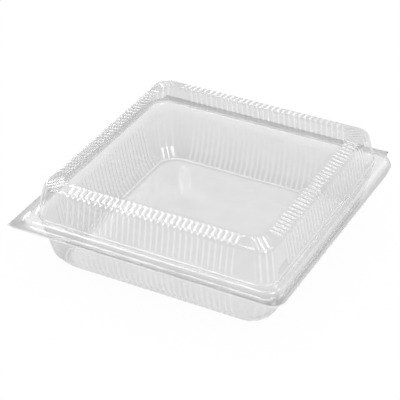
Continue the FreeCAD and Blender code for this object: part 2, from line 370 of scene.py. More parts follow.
def tray_section(rim: RimSizes, lid: Section, tray: TraySizes, ribs: RibSizes) -> Section:
    """The tray's section: raised bead, plain collar, ribbed wall with a knee, and floor.

    Args:
        rim: Sizes of the flange and bead.
        lid: The lid's section, over which the bead nests.
        tray: Sizes of the tray.
        ribs: Sizes of the ribs.

    Returns:
        The section of the tray's upper face.
    """
    drop = rim.thickness + rim.nest_gap
    nest = shifted(lid.plain[:4], np.full(3, drop))
    (edge, flange_top), (foot, _), (bead_out, bead_top) = nest[:3]
    bead_in = bead_out - tray.bead_width
    collar_head = bead_in - tray.lip_run
    collar_foot = collar_head - tray.collar_lean
    knee = collar_foot - tray.wall_lean
    floor_edge = knee - tray.knee_lean
    collar_top = bead_top - tray.lip_drop
    rib_top = collar_top - tray.collar_drop
    nest_corner = lid.plain[1, CORNER] + foot - lid.plain[1, REACH]
    wall = np.array([
        (collar_foot, rib_top),
        (knee, tray.knee_height),
        (floor_edge, rim.thickness),
        (0.0, rim.thickness),
    ])
    pressed = shifted(wall, np.array([tray.rib, tray.rib, 0.0]))
    run_out = rib_top - ribs.run_out
    rib_end = rim.thickness + tray.floor_run_out
    # The fourth column is painted shade, the share of the darker grey: full at the flange's edge
    # and low on the wall, none on the bead.
    lines = np.array([
        (edge, flange_top, nest_corner + edge - foot, 1.0, 0.0),
        (foot, flange_top, nest_corner, 0.0, 0.0),
        (bead_out, bead_top, nest_corner - foot + bead_out, 0.0, 0.0),
        (bead_in, bead_top, tray.bead_inner_corner, 0.0, 0.0),
        (collar_head, collar_top, tray.bead_inner_corner - tray.lip_run, 0.1, 0.0),
        (collar_foot, rib_top, tray.collar_corner, 0.4, 0.0),
        (*at_height(wall[0], wall[1], run_out), tray.collar_corner, 0.5, 0.0),
        (knee, tray.knee_height, tray.knee_corner, 0.8, 0.0),
        (*at_height(wall[1], wall[2], rib_end), tray.floor_corner, 1.0, 0.0),
        (floor_edge, rim.thickness, tray.floor_corner, 0.8, 0.0),
        (0.0, rim.thickness, 0.0, 0.2, 0.0),
    ])
    crest = lines.copy()
    crest[6, :2] = at_height(pressed[0], pressed[1], run_out)
    crest[7, :2] = pressed[1]
    crest[8, :2] = at_height(pressed[1], pressed[2], rib_end)
    crest[9, REACH] += tray.floor_rib
    trims = np.array([0.9, 1.1, 0.6, 0.6, 0.6, 0.6, 1.6, 0.3, 1.6])
    steps = np.array([4, 4, 4, 4, 4, 4, 5, 3, 5])
    # The middle row of the floor's rounded edge takes no painted shade: a painted highlight line
    # along the floor's edge.
    floor_highlight_row = 1 + int(steps[:-1].sum()) + int(steps[-1]) // 2
    return Section(lines, crest, trims, steps, tray.tab_corner, tray.floor_crown, floor_highlight_row)


# ---- Columns round the container ----

def rib_wave(phase: Array, crispness: float) -> Array:
    """Triangle wave with eased turns: 1/2 - asin(k cos(phase)) / (2 asin(k)), k the crispness."""
    return 0.5 - np.arcsin(crispness * np.cos(phase)) / (2 * math.asin(crispness))


def pad_wave(wave: Array, width: float) -> Array:
    """A rib wave with flat tops: 1/2 + tanh((wave - 1/2) / width) / (2 tanh(1 / (2 width)))."""
    return 0.5 + np.tanh((wave - 0.5) / width) / (2 * math.tanh(0.5 / width))


@dataclass(frozen=True)
class Columns:
    """Columns of the grid, counter-clockwise round the container seen from above.

    A column stands at along on its side. Past the last rib it also moves with the end of the
    side's straight stretch, by the share stretch, and in a corner it turns by angle. Its ribs'
    heights are wave where they end in a ridge and pads where they have flat tops.
    """

    turn: Array
    along: Array
    stretch: Array
    angle: Array
    wave: Array
    pads: Array
    rib_end: float

    @classmethod
    def around(cls, straight_half: float, ribs: RibSizes) -> "Columns":
        """Columns for a half whose shortest straight stretch is given.

        Args:
            straight_half: Half that stretch.
            ribs: Sizes of the ribs.

        Returns:
            The columns of all four sides and corners.
        """
        count = int((straight_half - ribs.margin) * 2 / ribs.pitch)
        end = count * ribs.pitch / 2
        side = np.linspace(-end, end, count * ribs.columns + 1)
        turn_in = np.arange(ribs.corner_columns) * (math.pi / 2 / ribs.corner_columns)
        along = np.concatenate([[-end, -end], side, [end], np.full(len(turn_in), end)])
        stretch = np.concatenate([[-1.0, -0.5], np.zeros(len(side)), [0.5], np.ones(len(turn_in))])
        angle = np.concatenate([np.zeros(len(side) + 3), turn_in])
        side_wave = rib_wave(2 * math.pi * (side + end) / ribs.pitch, ribs.crispness)
        corner_phase = 2 * math.pi * (turn_in / (2 * ribs.corner_pitch) + 0.5)
        near = np.abs(turn_in - math.pi / 4) < ribs.corner_span * ribs.corner_pitch - SLACK
        corner_wave = rib_wave(corner_phase, ribs.crispness)
        wave = np.concatenate([[0.0, 0.0], side_wave, [0.0], corner_wave])
        ribbed = np.concatenate([[0, 0], np.ones(len(side)), [0], near * ribs.corner_share])
        pads = pad_wave(wave, ribs.pad_flank)
        heights = ((wave - ribs.below) * ribbed, (pads - ribs.below) * ribbed)
        turn = np.repeat(np.arange(4) * math.pi / 2, len(along))
        return cls(turn, *(np.tile(values, 4) for values in (along, stretch, angle, *heights)), end)

    def turned(self, along: Array, out: Array) -> Array:
        """x and y of points given by their distance along each column's side and straight out."""
        c, s = np.cos(self.turn), np.sin(self.turn)
        return np.stack([along * c + out * s, along * s - out * c], axis=-1)

    def outward(self) -> Array:
        """Unit direction straight out of the plan outline at each column."""
        return self.turned(np.sin(self.angle), np.cos(self.angle))

    def swept(self, plain: Array, crest: Array) -> Array:
        """Carry a profile round the container.

        A point lies half + arm cos(angle) straight out and, past the ribs, half + arm sin(angle)
        along. Half is the reach less the corner radius, and arm is that radius plus the rib.

        Args:
            plain: The section's rows between the ribs.
            crest: The same rows on top of the ribs.

        Returns:
            Points as rows x columns x 3.
        """
        reach, height, corner, _, pad = (plain[:, i, None] for i in range(5))
        lift = (crest - plain)[:, :, None] * (self.wave + pad * (self.pads - self.wave))[:, None]
        half = reach - corner
        arm = corner + lift[:, REACH]
        along = self.along + self.stretch * (half - self.rib_end) + arm * np.sin(self.angle)
        out = half + arm * np.cos(self.angle)
        level = height + lift[:, HEIGHT]
        return np.concatenate([self.turned(along, out), level[..., None]], axis=-1)


# ---- The flange's outline ----

def arc(
    centre: tuple[float, float], radius: float, start: float, end: float, steps: int = ARC_STEPS,
) -> Array:
    """Points on an arc: centre + radius (cos a, sin a) for a from start to end degrees."""
    angle = np.radians(np.linspace(start, end, steps + 1))
    return np.array(centre) + radius * np.stack([np.cos(angle), np.sin(angle)], axis=1)


@dataclass(frozen=True)
class FlangeOutline:
    """Outer edge of a flange in plan, with the points where it turns sharply."""

    points: Array
    keys: Array

    @classmethod
    def of(cls, rim: RimSizes, tab_corner: float) -> "FlangeOutline":
        """The outline with its tab corner at the front left and hinge leaf at the back.

        Args:
            rim: Sizes of the flange and fold.
            tab_corner: Corner radius of the tab; 0 leaves it pointed.

        Returns:
            The outline, counter-clockwise from the front right corner.
        """
        half, back = rim.flange_half, rim.flange_half - rim.back_corner
        front, tab = half - rim.front_corner, half - tab_corner
        cut = math.degrees(math.acos(1.0 - rim.leaf_inset / rim.back_corner))
        leaf = (half - rim.fold_inset, rim.leaf_end - rim.web_reach)
        right = arc((back, back), rim.back_corner, 0.0, cut)
        mirror = np.array([-1.0, 1.0])
        points = np.vstack([
            arc((front, -front), rim.front_corner, -90.0, 0.0),
            right,
            [leaf],
            [leaf * mirror],
            right[::-1] * mirror,
            arc((-tab, -tab), tab_corner, 180.0, 270.0, ARC_STEPS if tab_corner else 1),
        ])
        keys = np.array([right[-1], leaf, leaf * mirror, right[-1] * mirror])
        return cls(points, keys)

    def distances(self, start: Array, direction: Array) -> Array:
        """How far each ray runs from its start to the outline.

        A ray p + t d meets a leg from a to b at t = cross(a - p, b - a) / cross(d, b - a), a share
        cross(a - p, d) / cross(d, b - a) along the leg. The nearest leg ahead counts.

        Args:
            start: Points inside the outline.
            direction: Unit directions.

        Returns:
            One distance for each ray.
        """
        a = self.points[None]
        leg = np.roll(self.points, -1, axis=0)[None] - a
        gap = a - start[:, None]
        d = direction[:, None]
        bend = cross(d, leg)
        crossing = np.abs(bend) > TINY
        safe = np.where(crossing, bend, TINY)
        t, share = cross(gap, leg) / safe, cross(gap, d) / safe
        ahead = crossing & (t > 0) & (share > -SLACK) & (share < 1 + SLACK)
        return np.where(ahead, t, np.inf).min(axis=1)

    def met_by(self, start: Array, direction: Array) -> Array:
        """Where each ray meets the outline, with one ray led to each sharp turn.

        Args:
            start: Points inside the outline.
            direction: Unit directions.

        Returns:
            Points of the outline, one for each ray.
        """
        met = start + direction * self.distances(start, direction)[:, None]
        gap = self.keys[:, None] - start[None]
        off = np.abs(cross(gap, direction))
        ahead = (gap * direction).sum(axis=-1) > 0
        met[np.where(ahead, off, np.inf).argmin(axis=1)] = self.keys
        return met


# ---- Meshes ----

def grid_normals(grid: Array) -> Array:
    """Normals of a grid that closes round its columns.

    A quad's normal is the cross product of its diagonals, so it counts by its area, and a vertex
    sums the quads around it. Large flat walls so keep true normals beside small folds.

    Args:
        grid: Points as rows x columns x 3, rows running outwards, columns counter-clockwise.

    Returns:
        Unit normals on the grid's upper side, of the same shape.
    """
    following = np.roll(grid, -1, axis=1)
    quad = np.cross(following[1:] - grid[:-1], following[:-1] - grid[1:])
    total = np.zeros_like(grid)
    total[:-1] += quad
    total[1:] += quad
    return unit(total + np.roll(total, 1, axis=1))


# These shares place the highlight that the finishes paint on ridges.
def crease_shares(
    grid: Array, normals: Array, outward: float, gentle: float, sharp: float,
) -> Array:
    """How sharply a grid bends from column to column, eased from 0, gentle, to 1, sharp.

    A bend is the change of the normal along a step, divided by the step. Only the ridges of the
    container's outer face count.

    Args:
        grid: Points as rows x columns x 3.
        normals: Their unit normals.
        outward: 1 if the normals point out of the container and -1 if they point in.
        gentle: Bend, per millimetre, up to which the share is 0.
        sharp: Bend from which it is 1.

    Returns:
        The shares as rows x columns.
    """
    step = np.roll(grid, -1, axis=1) - np.roll(grid, 1, axis=1)
    turn = np.roll(normals, -1, axis=1) - np.roll(normals, 1, axis=1)
    bend = outward * (step * turn).sum(-1) / np.maximum((step ** 2).sum(-1), SLACK)
    share = np.clip((bend - gentle) / (sharp - gentle), 0, 1)
    return share ** 2 * (3 - 2 * share)


def quads(rows: int, columns: int) -> Array:
    """Corner numbers of the quads of a grid that closes round its columns.

    Args:
        rows: Rows of the grid.
        columns: Its columns.

    Returns:
        One quad a row.
    """
    row, column = np.meshgrid(np.arange(rows - 1), np.arange(columns), indexing="ij")
    here = row * columns + column
    beside = row * columns + (column + 1) % columns
    return np.stack([here, here + columns, beside + columns, beside], axis=-1).reshape(-1, 4)


def mesh_from(name: str, points: Array, faces: list[Array]) -> bpy.types.Mesh:
    """A mesh from whole arrays.

    Args:
        name: The mesh's name.
        points: Points in millimetres, one row each.
        faces: Arrays of corner numbers, each with one face a row.

    Returns:
        The mesh, in metres and smoothly shaded.
    """
    corners = np.concatenate([f.ravel() for f in faces]).astype(np.int32)
    totals = np.concatenate([np.full(len(f), f.shape[1]) for f in faces]).astype(np.int32)
    starts = np.concatenate([[0], np.cumsum(totals)[:-1]]).astype(np.int32)
    mesh = bpy.data.meshes.new(name)
    mesh.vertices.add(len(points))
    mesh.vertices.foreach_set("co", (points * MM).astype(np.float32).ravel())
    mesh.loops.add(len(corners))
    mesh.loops.foreach_set("vertex_index", corners)
    mesh.polygons.add(len(totals))
    mesh.polygons.foreach_set("loop_start", starts)
    mesh.polygons.foreach_set("loop_total", totals)
    mesh.polygons.foreach_set("use_smooth", np.ones(len(totals), bool))
    mesh.update(calc_edges=True)
    mesh.validate()
    return mesh


def add_values(mesh: bpy.types.Mesh, name: str, values: Array) -> None:
    """Store one value for each vertex as an attribute that finishes can read."""
    layer = mesh.attributes.new(name, "FLOAT", "POINT")
    layer.data.foreach_set("value", values.astype(np.float32).ravel())


def place(name: str, data: bpy.types.ID) -> bpy.types.Object:
    """Put a mesh, lamp or camera in the scene as an object at the origin.

    Args:
        name: The object's name.
        data: What the object shows.

    Returns:
        The object.
    """
    made = bpy.data.objects.new(name, data)
    bpy.context.scene.collection.objects.link(made)
    return made


# ---- Nodes ----

def grey(value: float) -> tuple[float, float, float, float]:
    """An opaque grey of this value."""
    return (value, value, value, 1.0)


def emptied(owner: bpy.types.Material | bpy.types.World) -> Nodes:
    """Turn on the nodes of a material or world and clear them away.

    Args:
        owner: The material or world.

    Returns:
        Its empty tree.
    """
    owner.use_nodes = True
    owner.node_tree.nodes.clear()
    return owner.node_tree


def add_node(tree: Nodes, kind: str, name: str, **values: object) -> bpy.types.Node:
    """Add a node and set its properties and, by number, its unlinked inputs.

    Args:
        tree: Where the node goes.
        kind: Blender's node type.
        name: The node's name.
        **values: Properties by name, or in_0, in_1 and so on for inputs.

    Returns:
        The node.
    """
    node = tree.nodes.new(kind)
    node.name = node.label = name
    for key, value in values.items():
        if key.startswith("in_"):
            node.inputs[int(key[3:])].default_value = value
        else:
            setattr(node, key, value)
    return node


def end_of_wire(tree: Nodes, side: str, end: str) -> bpy.types.NodeSocket:
    """The socket that an end, "node.socket", names by its own name or its number."""
    node, _, socket = end.partition(".")
    return getattr(tree.nodes[node], side)[int(socket) if socket.isdigit() else socket]


def wire(tree: Nodes, *wires: str) -> None:
    """Link nodes by name.

    Args:
        tree: Where the nodes are.
        *wires: Links, each written as "node.output > node.input".
    """
    for written in wires:
        source, target = written.split(" > ")
        tree.links.new(end_of_wire(tree, "outputs", source), end_of_wire(tree, "inputs", target))


def new_material(name: str) -> bpy.types.Material:
    """A material with nothing but its output, surface.

    Args:
        name: The material's name.

    Returns:
        The material.
    """
    made = bpy.data.materials.new(name)
    add_node(emptied(made), "ShaderNodeOutputMaterial", "surface")
    return made


def add_seen_directly(tree: Nodes) -> None:
    """Add seen_directly, which is 1 for camera, glossy and transmission rays and 0 for others.

    Args:
        tree: Where the nodes go.
    """
    add_node(tree, "ShaderNodeLightPath", "kind_of_ray")
    add_node(tree, "ShaderNodeMath", "camera_or_glossy", operation="ADD", use_clamp=True)
    add_node(tree, "ShaderNodeMath", "seen_directly", operation="ADD", use_clamp=True)
    wire(
        tree,
        "kind_of_ray.Is Camera Ray > camera_or_glossy.0",
        "kind_of_ray.Is Glossy Ray > camera_or_glossy.1",
        "camera_or_glossy.0 > seen_directly.0",
        "kind_of_ray.Is Transmission Ray > seen_directly.1",
    )


# ---- Shared finish effects ----

def new_group(effect: type, output: str, kind: str) -> Nodes:
    """An empty node group that takes coordinates and the values of an effect.

    Args:
        effect: The effect's dataclass; each of its fields becomes an input.
        output: The output's name.
        kind: The output's socket type.

    Returns:
        The group, with its input and output nodes named "in" and "out".
    """
    tree = bpy.data.node_groups.new(effect.__name__.lower(), "ShaderNodeTree")
    tree.interface.new_socket(name="coordinates", in_out="INPUT", socket_type="NodeSocketVector")
    for value in fields(effect):
        tree.interface.new_socket(name=value.name, in_out="INPUT", socket_type="NodeSocketFloat")
    tree.interface.new_socket(name=output, in_out="OUTPUT", socket_type=kind)
    tree.nodes.new("NodeGroupInput").name = "in"
    tree.nodes.new("NodeGroupOutput").name = "out"
    return tree


def add_noise(tree: Nodes, name: str, scale: str, detail: float) -> None:
    """Add noise over a group's coordinates, with its scale from the group's input of this name."""
    add_node(tree, "ShaderNodeTexNoise", name, in_3=detail)
    wire(tree, f"in.coordinates > {name}.Vector", f"in.{scale} > {name}.Scale")


@dataclass(frozen=True)
class Ripple:
    """Slight unevenness that a formed sheet keeps."""

    broad_scale: float = 34.0
    fine_scale: float = 420.0
    fine_share: float = 0.06

    @classmethod
    def group(cls) -> Nodes:
        """Build the node group.

        Returns:
            A group whose height is broad waves plus a share of a fine grain.
        """
        tree = new_group(cls, "height", "NodeSocketFloat")
        add_noise(tree, "broad_waves", "broad_scale", 1.0)
        add_noise(tree, "fine_grain", "fine_scale", 2.0)
        add_node(tree, "ShaderNodeMath", "sum", operation="MULTIPLY_ADD")
        wire(
            tree,
            "fine_grain.Fac > sum.0",
            "in.fine_share > sum.1",
            "broad_waves.Fac > sum.2",
            "sum.0 > out.height",
        )
        return tree


@dataclass(frozen=True)
class Tone:
    """Sheet greys: its flat tint, a darker painted shade, a lighter painted highlight on ridges."""

    flat: float
    drawn: float
    ridge: float = 0.995
    draw: float = 0.0
    crease: float = 0.0
    mottle_scale: float = 60.0
    mottle_share: float = 0.25

    @classmethod
    def group(cls) -> Nodes:
        """Build the node group.

        Returns:
            A group whose colour goes from the flat tint to the darker grey (painted shade) by its
            share and mottle, and to the lighter grey of the painted ridge highlight by that share.
        """
        tree = new_group(cls, "color", "NodeSocketColor")
        add_noise(tree, "mottle", "mottle_scale", 2.0)
        add_node(tree, "ShaderNodeMath", "centred", operation="SUBTRACT", in_1=0.5)
        add_node(tree, "ShaderNodeMath", "share", operation="MULTIPLY_ADD", use_clamp=True)
        add_node(tree, "ShaderNodeMix", "flat_to_drawn", data_type="RGBA")
        add_node(tree, "ShaderNodeMix", "to_ridge", data_type="RGBA")
        wire(
            tree,
            "mottle.Fac > centred.0",
            "centred.0 > share.0",
            "in.mottle_share > share.1",
            "in.draw > share.2",
            "share.0 > flat_to_drawn.Factor",
            "in.flat > flat_to_drawn.6",
            "in.drawn > flat_to_drawn.7",
            "in.crease > to_ridge.Factor",
            "flat_to_drawn.2 > to_ridge.6",
            "in.ridge > to_ridge.7",
            "to_ridge.2 > out.color",
        )
        return tree


@dataclass(frozen=True)
class Scuffs:
    """Roughness of a smooth surface with faint rubbed patches."""

    scale: float = 110.0
    smooth: float = 0.012
    rubbed: float = 0.05
    patch_from: float = 0.55
    patch_to: float = 0.75

    @classmethod
    def group(cls) -> Nodes:
        """Build the node group.

        Returns:
            A group whose roughness goes from smooth to rubbed across the patches' soft edges.
        """
        tree = new_group(cls, "roughness", "NodeSocketFloat")
        add_noise(tree, "patches", "scale", 4.0)
        add_node(tree, "ShaderNodeMapRange", "patch_edges")
        wire(
            tree,
            "patches.Fac > patch_edges.0",
            "in.patch_from > patch_edges.1",
            "in.patch_to > patch_edges.2",
            "in.smooth > patch_edges.3",
            "in.rubbed > patch_edges.4",
            "patch_edges.0 > out.roughness",
        )
        return tree


class SharedEffects:
    """The effects' node groups, each built once and used by several finishes."""

    def __init__(self) -> None:
        """Build every group."""
        self.groups = {effect: effect.group() for effect in (Ripple, Tone, Scuffs)}

    def add(self, tree: Nodes, *effects: Ripple | Tone | Scuffs) -> None:
        """Add effects to a material, called after their classes and fed with Object coordinates.

        Args:
            tree: The material's nodes.
            *effects: The finish's own values.
        """
        add_node(tree, "ShaderNodeTexCoord", "place_on_piece")
        for effect in effects:
            name = type(effect).__name__.lower()
            node = add_node(tree, "ShaderNodeGroup", name, node_tree=self.groups[type(effect)])
            for label, value in asdict(effect).items():
                node.inputs[label].default_value = value
            wire(tree, f"place_on_piece.Object > {name}.coordinates")


# ---- Finishes ----

@dataclass(frozen=True)
class ClearSheetFinish:
    """Clear polished thermoformed sheet."""

    name: str
    tone: Tone
    ripple: Ripple = Ripple()
    scuffs: Scuffs = Scuffs()
    ripple_depth: float = 0.00012
    ior: float = 1.57
    lamp_pass: float = 0.95

    def material(self, effects: SharedEffects) -> bpy.types.Material:
        """Build the finish as a material.

        Args:
            effects: The shared node groups.

        Returns:
            The material; rays from lamps pass it nearly untouched, so the floor behind is lit.
        """
        made = new_material(self.name)
        tree = made.node_tree
        effects.add(tree, self.ripple, self.tone, self.scuffs)
        # The attributes paint light into the colour: a share of shade and a share of highlight on
        # ridges.
        add_node(tree, "ShaderNodeAttribute", "how_far_drawn", attribute_name="draw")
        add_node(tree, "ShaderNodeAttribute", "how_sharply_bent", attribute_name="crease")
        bump = add_node(tree, "ShaderNodeBump", "uneven_surface")
        bump.inputs["Strength"].default_value = 1.0
        bump.inputs["Distance"].default_value = self.ripple_depth
        sheet = add_node(tree, "ShaderNodeBsdfPrincipled", "sheet")
        sheet.inputs["Metallic"].default_value = 0.0
        sheet.inputs["Transmission Weight"].default_value = 1.0
        sheet.inputs["IOR"].default_value = self.ior
        add_node(tree, "ShaderNodeBsdfTransparent", "way_for_lamps", in_0=grey(self.lamp_pass))
        add_node(tree, "ShaderNodeLightPath", "kind_of_ray")
        add_node(tree, "ShaderNodeMixShader", "sheet_or_way")
        wire(
            tree,
            "how_far_drawn.Fac > tone.draw",
            "how_sharply_bent.Fac > tone.crease",
            "ripple.height > uneven_surface.Height",
            "tone.color > sheet.Base Color",
            "scuffs.roughness > sheet.Roughness",
            "uneven_surface.Normal > sheet.Normal",
            "kind_of_ray.Is Shadow Ray > sheet_or_way.0",
            "sheet.0 > sheet_or_way.1",
            "way_for_lamps.0 > sheet_or_way.2",
            "sheet_or_way.0 > surface.Surface",
        )
        return made


@dataclass(frozen=True)
class CutEdgeFinish:
    """Matt, whitish edge that the die leaves where it cuts the sheet."""

    name: str = "cut_edge"
    # Here the darker grey and its share are the edge's own mottled tone, not shade.
    tone: Tone = Tone(flat=0.96, drawn=0.8, draw=0.3, mottle_scale=700.0, mottle_share=1.6)
    scuffs: Scuffs = Scuffs(scale=260.0, smooth=0.35, rubbed=0.6)

    def material(self, effects: SharedEffects) -> bpy.types.Material:
        """Build the finish as a material.

        Args:
            effects: The shared node groups.

        Returns:
            The material.
        """
        made = new_material(self.name)
        tree = made.node_tree
        effects.add(tree, self.tone, self.scuffs)
        add_node(tree, "ShaderNodeBsdfPrincipled", "edge")
        wire(
            tree,
            "tone.color > edge.Base Color",
            "scuffs.roughness > edge.Roughness",
            "edge.0 > surface.Surface",
        )
        return made


@dataclass(frozen=True)
class FloorFinish:
    """White studio floor that still takes the object's shadow."""

    name: str = "studio_floor"
    tone: float = 0.9
    white_share: float = 0.96

    def material(self) -> bpy.types.Material:
        """Build the finish as a material.

        Returns:
            The material, which mostly shines by itself for rays that see it directly.
        """
        made = new_material(self.name)
        tree = made.node_tree
        add_seen_directly(tree)
        add_node(tree, "ShaderNodeBsdfDiffuse", "matt", in_0=grey(self.tone))
        add_node(tree, "ShaderNodeEmission", "white", in_0=grey(1.0), in_1=1.0)
        add_node(tree, "ShaderNodeMath", "white_share", operation="MULTIPLY", in_1=self.white_share)
        add_node(tree, "ShaderNodeMixShader", "matt_or_white")
        wire(
            tree,
            "seen_directly.0 > white_share.0",
            "white_share.0 > matt_or_white.0",
            "matt.0 > matt_or_white.1",
            "white.0 > matt_or_white.2",
            "matt_or_white.0 > surface.Surface",
        )
        return made


# ---- The container ----

@dataclass(frozen=True)
class PanelWaves:
    """Slow waves of a flat panel, as wavelengths across X and Y and one depth."""

    wave_x: float = 71.0
    wave_y: float = 58.0
    depth: float = 0.04

    def height(self, x: Array, y: Array) -> Array:
        """depth sin(2 pi x / wave_x + y / wave_y) cos(2 pi y / wave_y)."""
        across, along = 2 * math.pi * x / self.wave_x, y / self.wave_y
        return self.depth * np.sin(across + along) * np.cos(2 * math.pi * along)


@dataclass
class FormedHalf:
    """One half of the container: a thin closed shell that follows its section."""

    half: Half
    rim: RimSizes
    ribs: RibSizes
    section: Section
    finish: ClearSheetFinish
    cut_finish: CutEdgeFinish = CutEdgeFinish()
    waves: PanelWaves = PanelWaves()
    crease_bends: tuple[float, float] = (0.08, 0.28)
    nose_angles: tuple[float, ...] = (50.0, 0.0, -50.0)
    edge_power: float = 0.5
    foot_power: float = 1.5

    def bowed(self, rings: Array, edge: Array) -> Array:
        """Bow the flat middle and add its slow waves.

        With u and v the shares of the way from the middle to the panel's edge, a point moves up by
        (bow + waves) (1 - u^2)^2 (1 - v^2)^2, which is flat along the edge.

        Args:
            rings: Flat points of the middle.
            edge: Reach of the panel's edge.

        Returns:
            The points with their new heights.
        """
        u = np.clip(rings[..., 0] / edge, -1, 1)
        v = np.clip(rings[..., 1] / edge, -1, 1)
        fade = (1 - u ** 2) ** 2 * (1 - v ** 2) ** 2
        lift = (self.section.bow + self.waves.height(rings[..., 0], rings[..., 1])) * fade
        return rings + lift[..., None] * UP

    def formed_rows(self, columns: Columns) -> Array:
        """Upper skin from the flat middle's edge out to the flange's edge.

        The swept profile ends at the foot of the bead. From there the flange runs straight out
        to its outline, which it meets half a sheet short so that the edge can be rounded.

        Args:
            columns: The grid's columns.

        Returns:
            Points as rows x columns x 3, rows running outwards.
        """
        plain, crest = self.section.rows()
        swept = columns.swept(plain[1:], crest[1:])
        foot = swept[0]
        outline = FlangeOutline.of(self.rim, self.section.tab_corner)
        met = outline.met_by(foot[:, :2], columns.outward())
        way = unit(met - foot[:, :2])
        edge = met - way * self.rim.thickness / 2
        flange = np.stack([edge, (edge + foot[:, :2]) / 2])
        level = np.full((2, len(foot), 1), foot[0, 2])
        return np.concatenate([np.concatenate([flange, level], axis=-1), swept])[::-1]

    def nose(self, upper: Array, under: Array) -> Array:
        """Round the cut edge of the flange: mid + r (cos a outwards + sin a up).

        Args:
            upper: The upper skin.
            under: The under skin.

        Returns:
            The edge's rows, from the upper skin to the under one.
        """
        middle = (upper[-1] + under[-1]) / 2
        radius = self.rim.thickness / 2
        way = unit((upper[-1] - upper[-2]) * (1 - UP))
        angle = np.radians(self.nose_angles)[:, None, None]
        return middle + radius * (np.cos(angle) * way + np.sin(angle) * UP)

    def middle_rings(self, last: Array) -> Array:
        """Rings of the flat middle, each the panel's edge drawn in towards the centre.

        Args:
            last: The upper skin's innermost row.

        Returns:
            Points as rings x columns x 3.
        """
        ribs = self.ribs
        share = np.linspace(ribs.ring_start, ribs.ring_end, ribs.panel_rings)[:, None, None]
        rings = last[::ribs.panel_skip] * np.where(UP > 0, 1.0, share)
        return self.bowed(rings, np.abs(last[:, 0]).max())

    def faces(self, rows: int, count: int, rings: int) -> list[Array]:
        """Corner numbers of every face of the closed shell.

        The points come as the main grid, then the upper rings, then the under rings.

        Args:
            rows: Rows of the main grid, from the upper middle round the edge to the under middle.
            count: Columns of the main grid.
            rings: Rings of each flat middle.

        Returns:
            Arrays of faces, all facing outwards.
        """
        skip = self.ribs.panel_skip
        few = count // skip
        upper = rows * count
        under = upper + rings * few
        j = np.arange(few)
        fan = (j[:, None] * skip + np.arange(skip + 1)) % count
        inner = np.stack([(j + 1) % few, j], axis=1)
        ring = quads(rings, few)
        last = (rings - 1) * few + j
        return [
            quads(rows, count),
            np.concatenate([fan, upper + inner], axis=1),
            np.concatenate([(rows - 1) * count + fan, under + inner], axis=1)[:, ::-1],
            upper + ring[:, ::-1],
            under + ring,
            (upper + last)[None],
            (under + last)[None, ::-1],
        ]

    def draw_shares(self, upper: Array) -> Array:
        """Painted shade, as shares of the darker grey, for each point of the upper skin.

        With w the flange's width over that of the tab, its edge takes its share times
        w^edge_power and its foot takes w^foot_power at least, so the wide tab has one painted
        shade.

        Args:
            upper: The upper skin that formed_rows gives.

        Returns:
            The shares as rows x columns.
        """
        plain, _ = self.section.rows()
        shares = np.concatenate([plain[:1, SHADE_SHARE], plain[:1, SHADE_SHARE], plain[1:, SHADE_SHARE]])[::-1, None]
        width = np.linalg.norm(upper[-1] - upper[-3], axis=-1)
        wide = width / width.max()
        grid = np.broadcast_to(shares, upper.shape[:2]).copy()
        foot = slice(-2 - self.section.steps[0], -2)
        grid[-2:] *= wide ** self.edge_power
        grid[foot] = np.maximum(grid[foot], wide ** self.foot_power)
        return grid

    @staticmethod
    def laid_out(upper: Array, edge: Array, under: Array, middle: Array) -> Array:
        """Values of both skins, the cut edge and the flat middles in the order of the points."""
        grid = np.concatenate([upper, edge, under[::-1]])
        return np.concatenate([grid.reshape(-1, *grid.shape[2:]), middle])

    def build(self, effects: SharedEffects) -> bpy.types.Object:
        """Build this half and put it in its CAD node's place.

        Args:
            effects: The shared node groups.

        Returns:
            The finished piece.
        """
        columns = Columns.around(self.section.straight_half(), self.ribs)
        upper = self.formed_rows(columns)
        normals = grid_normals(upper)
        normals[0] = normals[-1] = UP
        under = upper - normals * self.rim.thickness
        nose = self.nose(upper, under)
        nose_normals = unit(nose - (upper[-1] + under[-1]) / 2)
        rings = self.middle_rings(upper[0])
        flats = np.stack([rings, rings - self.rim.thickness * UP]).reshape(-1, 3)
        points = self.laid_out(upper, nose, under, flats)
        rows, count = 2 * len(upper) + len(nose), upper.shape[1]
        mesh = mesh_from(self.half.value, points, self.faces(rows, count, len(rings)))
        shading = self.laid_out(normals, nose_normals, -normals, np.zeros_like(flats))
        mesh.normals_split_custom_set_from_vertices(shading.astype(np.float32))
        first_cut = (len(upper) - 1) * count
        wears = np.zeros(len(mesh.polygons), np.int32)
        wears[first_cut:first_cut + (len(nose) + 1) * count] = 1
        mesh.polygons.foreach_set("material_index", wears)
        # The painted highlight on ridges follows how sharply the outer face bends.
        outward = 1.0 if self.half is Half.LID else -1.0
        ridge_highlight_shares = crease_shares(upper, normals, outward, *self.crease_bends)
        edge = np.zeros(nose.shape[:2])
        # The attributes: painted shade, and the painted highlight on ridges; the cut edge takes
        # neither.
        for name, shares, middle in (
            ("draw", self.draw_shares(upper), self.section.plain[-1, SHADE_SHARE]),
            ("crease", ridge_highlight_shares, 0.0),
        ):
            add_values(mesh, name, self.laid_out(shares, edge, shares, np.full(len(flats), middle)))
        mesh.materials.append(self.finish.material(effects))
        mesh.materials.append(self.cut_finish.material(effects))
        piece = place(f"{self.half.value}_shell", mesh)
        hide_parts(self.half.value)
        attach(piece, self.half.value)
        return piece


